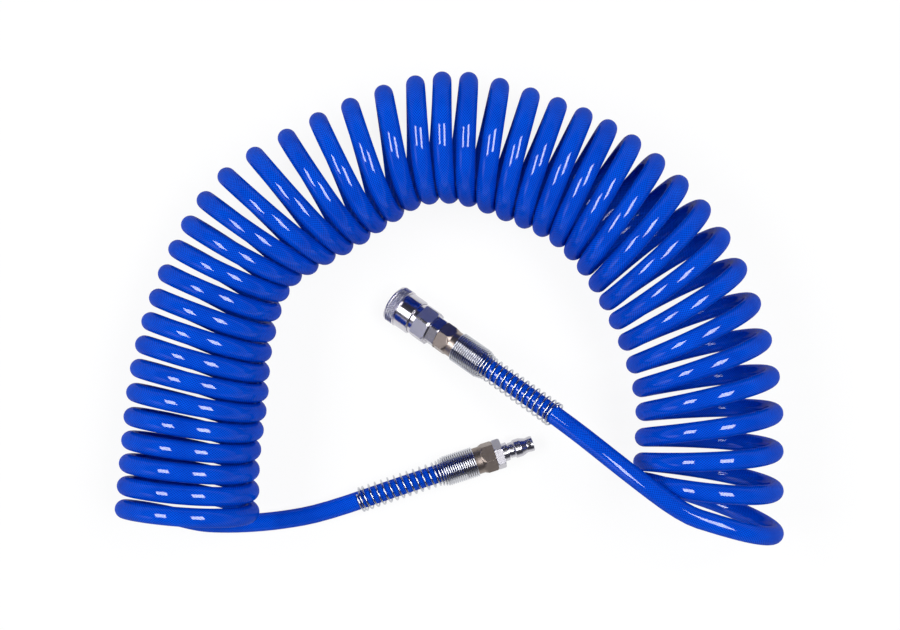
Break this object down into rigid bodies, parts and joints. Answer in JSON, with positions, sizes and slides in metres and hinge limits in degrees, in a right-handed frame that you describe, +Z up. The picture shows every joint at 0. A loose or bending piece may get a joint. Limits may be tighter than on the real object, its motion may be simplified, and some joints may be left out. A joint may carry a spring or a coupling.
{
  "type": "coiled air hose",
  "caption": "Coiled compressed-air hose laid in an arch, with a ball-lock quick coupler on one end and a plug on the other, each behind a spring guard.",
  "frame": {"origin": "middle of the whole hose in plan, on the surface that it rests on", "axes": "+Z up from the surface, +X across the arch from the plug's end of the coil to the coupler's end, +Y towards the top of the arch"},
  "size_m": [0.4062, 0.2863, 0.093],
  "materials": {
    "hose_skin": "gloss",
    "spring_steel": "bright zinc",
    "bright_plate": "polished",
    "nut_plate": "satin nickel",
    "ball_steel": "polished",
    "brass": "turned",
    "black_rubber": "matte"
  },
  "bodies": {
    "hose": {"hose_coil_1": "hose_skin", "hose_coil_2": "hose_skin", "hose_coil_3": "hose_skin", "hose_coil_4": "hose_skin", "hose_coil_5": "hose_skin", "hose_coil_6": "hose_skin", "hose_coil_7": "hose_skin", "hose_coil_8": "hose_skin", "hose_tail_plug": "hose_skin", "hose_tail_coupler": "hose_skin", "guard_spring_plug": "spring_steel", "guard_spring_coupler": "spring_steel", "coupler_body": "bright_plate", "snap_ring": "spring_steel", "packing_seal": "black_rubber", "hose_adapter": "bright_plate", "adapter_o_ring": "black_rubber", "hose_nut_coupler": "nut_plate", "plug_body": "bright_plate", "hose_nut_plug": "nut_plate", "sleeve_spring": "spring_steel", "valve_spring": "spring_steel"},
    "sleeve": {"coupler_sleeve": "bright_plate"},
    "valve": {"check_valve": "brass", "valve_seal": "black_rubber"},
    "ball_1": {"lock_ball_1": "ball_steel"},
    "ball_2": {"lock_ball_2": "ball_steel"},
    "ball_3": {"lock_ball_3": "ball_steel"},
    "ball_4": {"lock_ball_4": "ball_steel"},
    "ball_5": {"lock_ball_5": "ball_steel"},
    "ball_6": {"lock_ball_6": "ball_steel"}
  },
  "joints": [
    {"name": "sleeve_slide", "type": "slide", "parent": "hose", "child": "sleeve", "axis": [0.7841, -0.5429, 0.3007], "range_m": [0, 0.0025], "stiffness_N_per_m": 1500, "springref_m": -0.004, "deforming": ["sleeve_spring"]},
    {"name": "valve_slide", "type": "slide", "parent": "hose", "child": "valve", "axis": [0.7841, -0.5429, 0.3007], "range_m": [0, 0.0038], "stiffness_N_per_m": 500, "springref_m": -0.004, "deforming": ["valve_spring"]},
    {"name": "ball_slide_1", "type": "slide", "parent": "hose", "child": "ball_1", "axis": [-0.2472, 0.1712, 0.9537], "range_m": [0, 0.001]},
    {"name": "ball_slide_2", "type": "slide", "parent": "hose", "child": "ball_2", "axis": [-0.6166, -0.6264, 0.4769], "range_m": [0, 0.001]},
    {"name": "ball_slide_3", "type": "slide", "parent": "hose", "child": "ball_3", "axis": [-0.3694, -0.7976, -0.4769], "range_m": [0, 0.001]},
    {"name": "ball_slide_4", "type": "slide", "parent": "hose", "child": "ball_4", "axis": [0.2472, -0.1712, -0.9537], "range_m": [0, 0.001]},
    {"name": "ball_slide_5", "type": "slide", "parent": "hose", "child": "ball_5", "axis": [0.6166, 0.6264, -0.4769], "range_m": [0, 0.001]},
    {"name": "ball_slide_6", "type": "slide", "parent": "hose", "child": "ball_6", "axis": [0.3694, 0.7976, 0.4769], "range_m": [0, 0.001]}
  ],
  "couplings": [
    {"joint": "ball_slide_1", "follows": "sleeve_slide", "ratio": 0.4},
    {"joint": "ball_slide_2", "follows": "sleeve_slide", "ratio": 0.4},
    {"joint": "ball_slide_3", "follows": "sleeve_slide", "ratio": 0.4},
    {"joint": "ball_slide_4", "follows": "sleeve_slide", "ratio": 0.4},
    {"joint": "ball_slide_5", "follows": "sleeve_slide", "ratio": 0.4},
    {"joint": "ball_slide_6", "follows": "sleeve_slide", "ratio": 0.4}
  ]
}
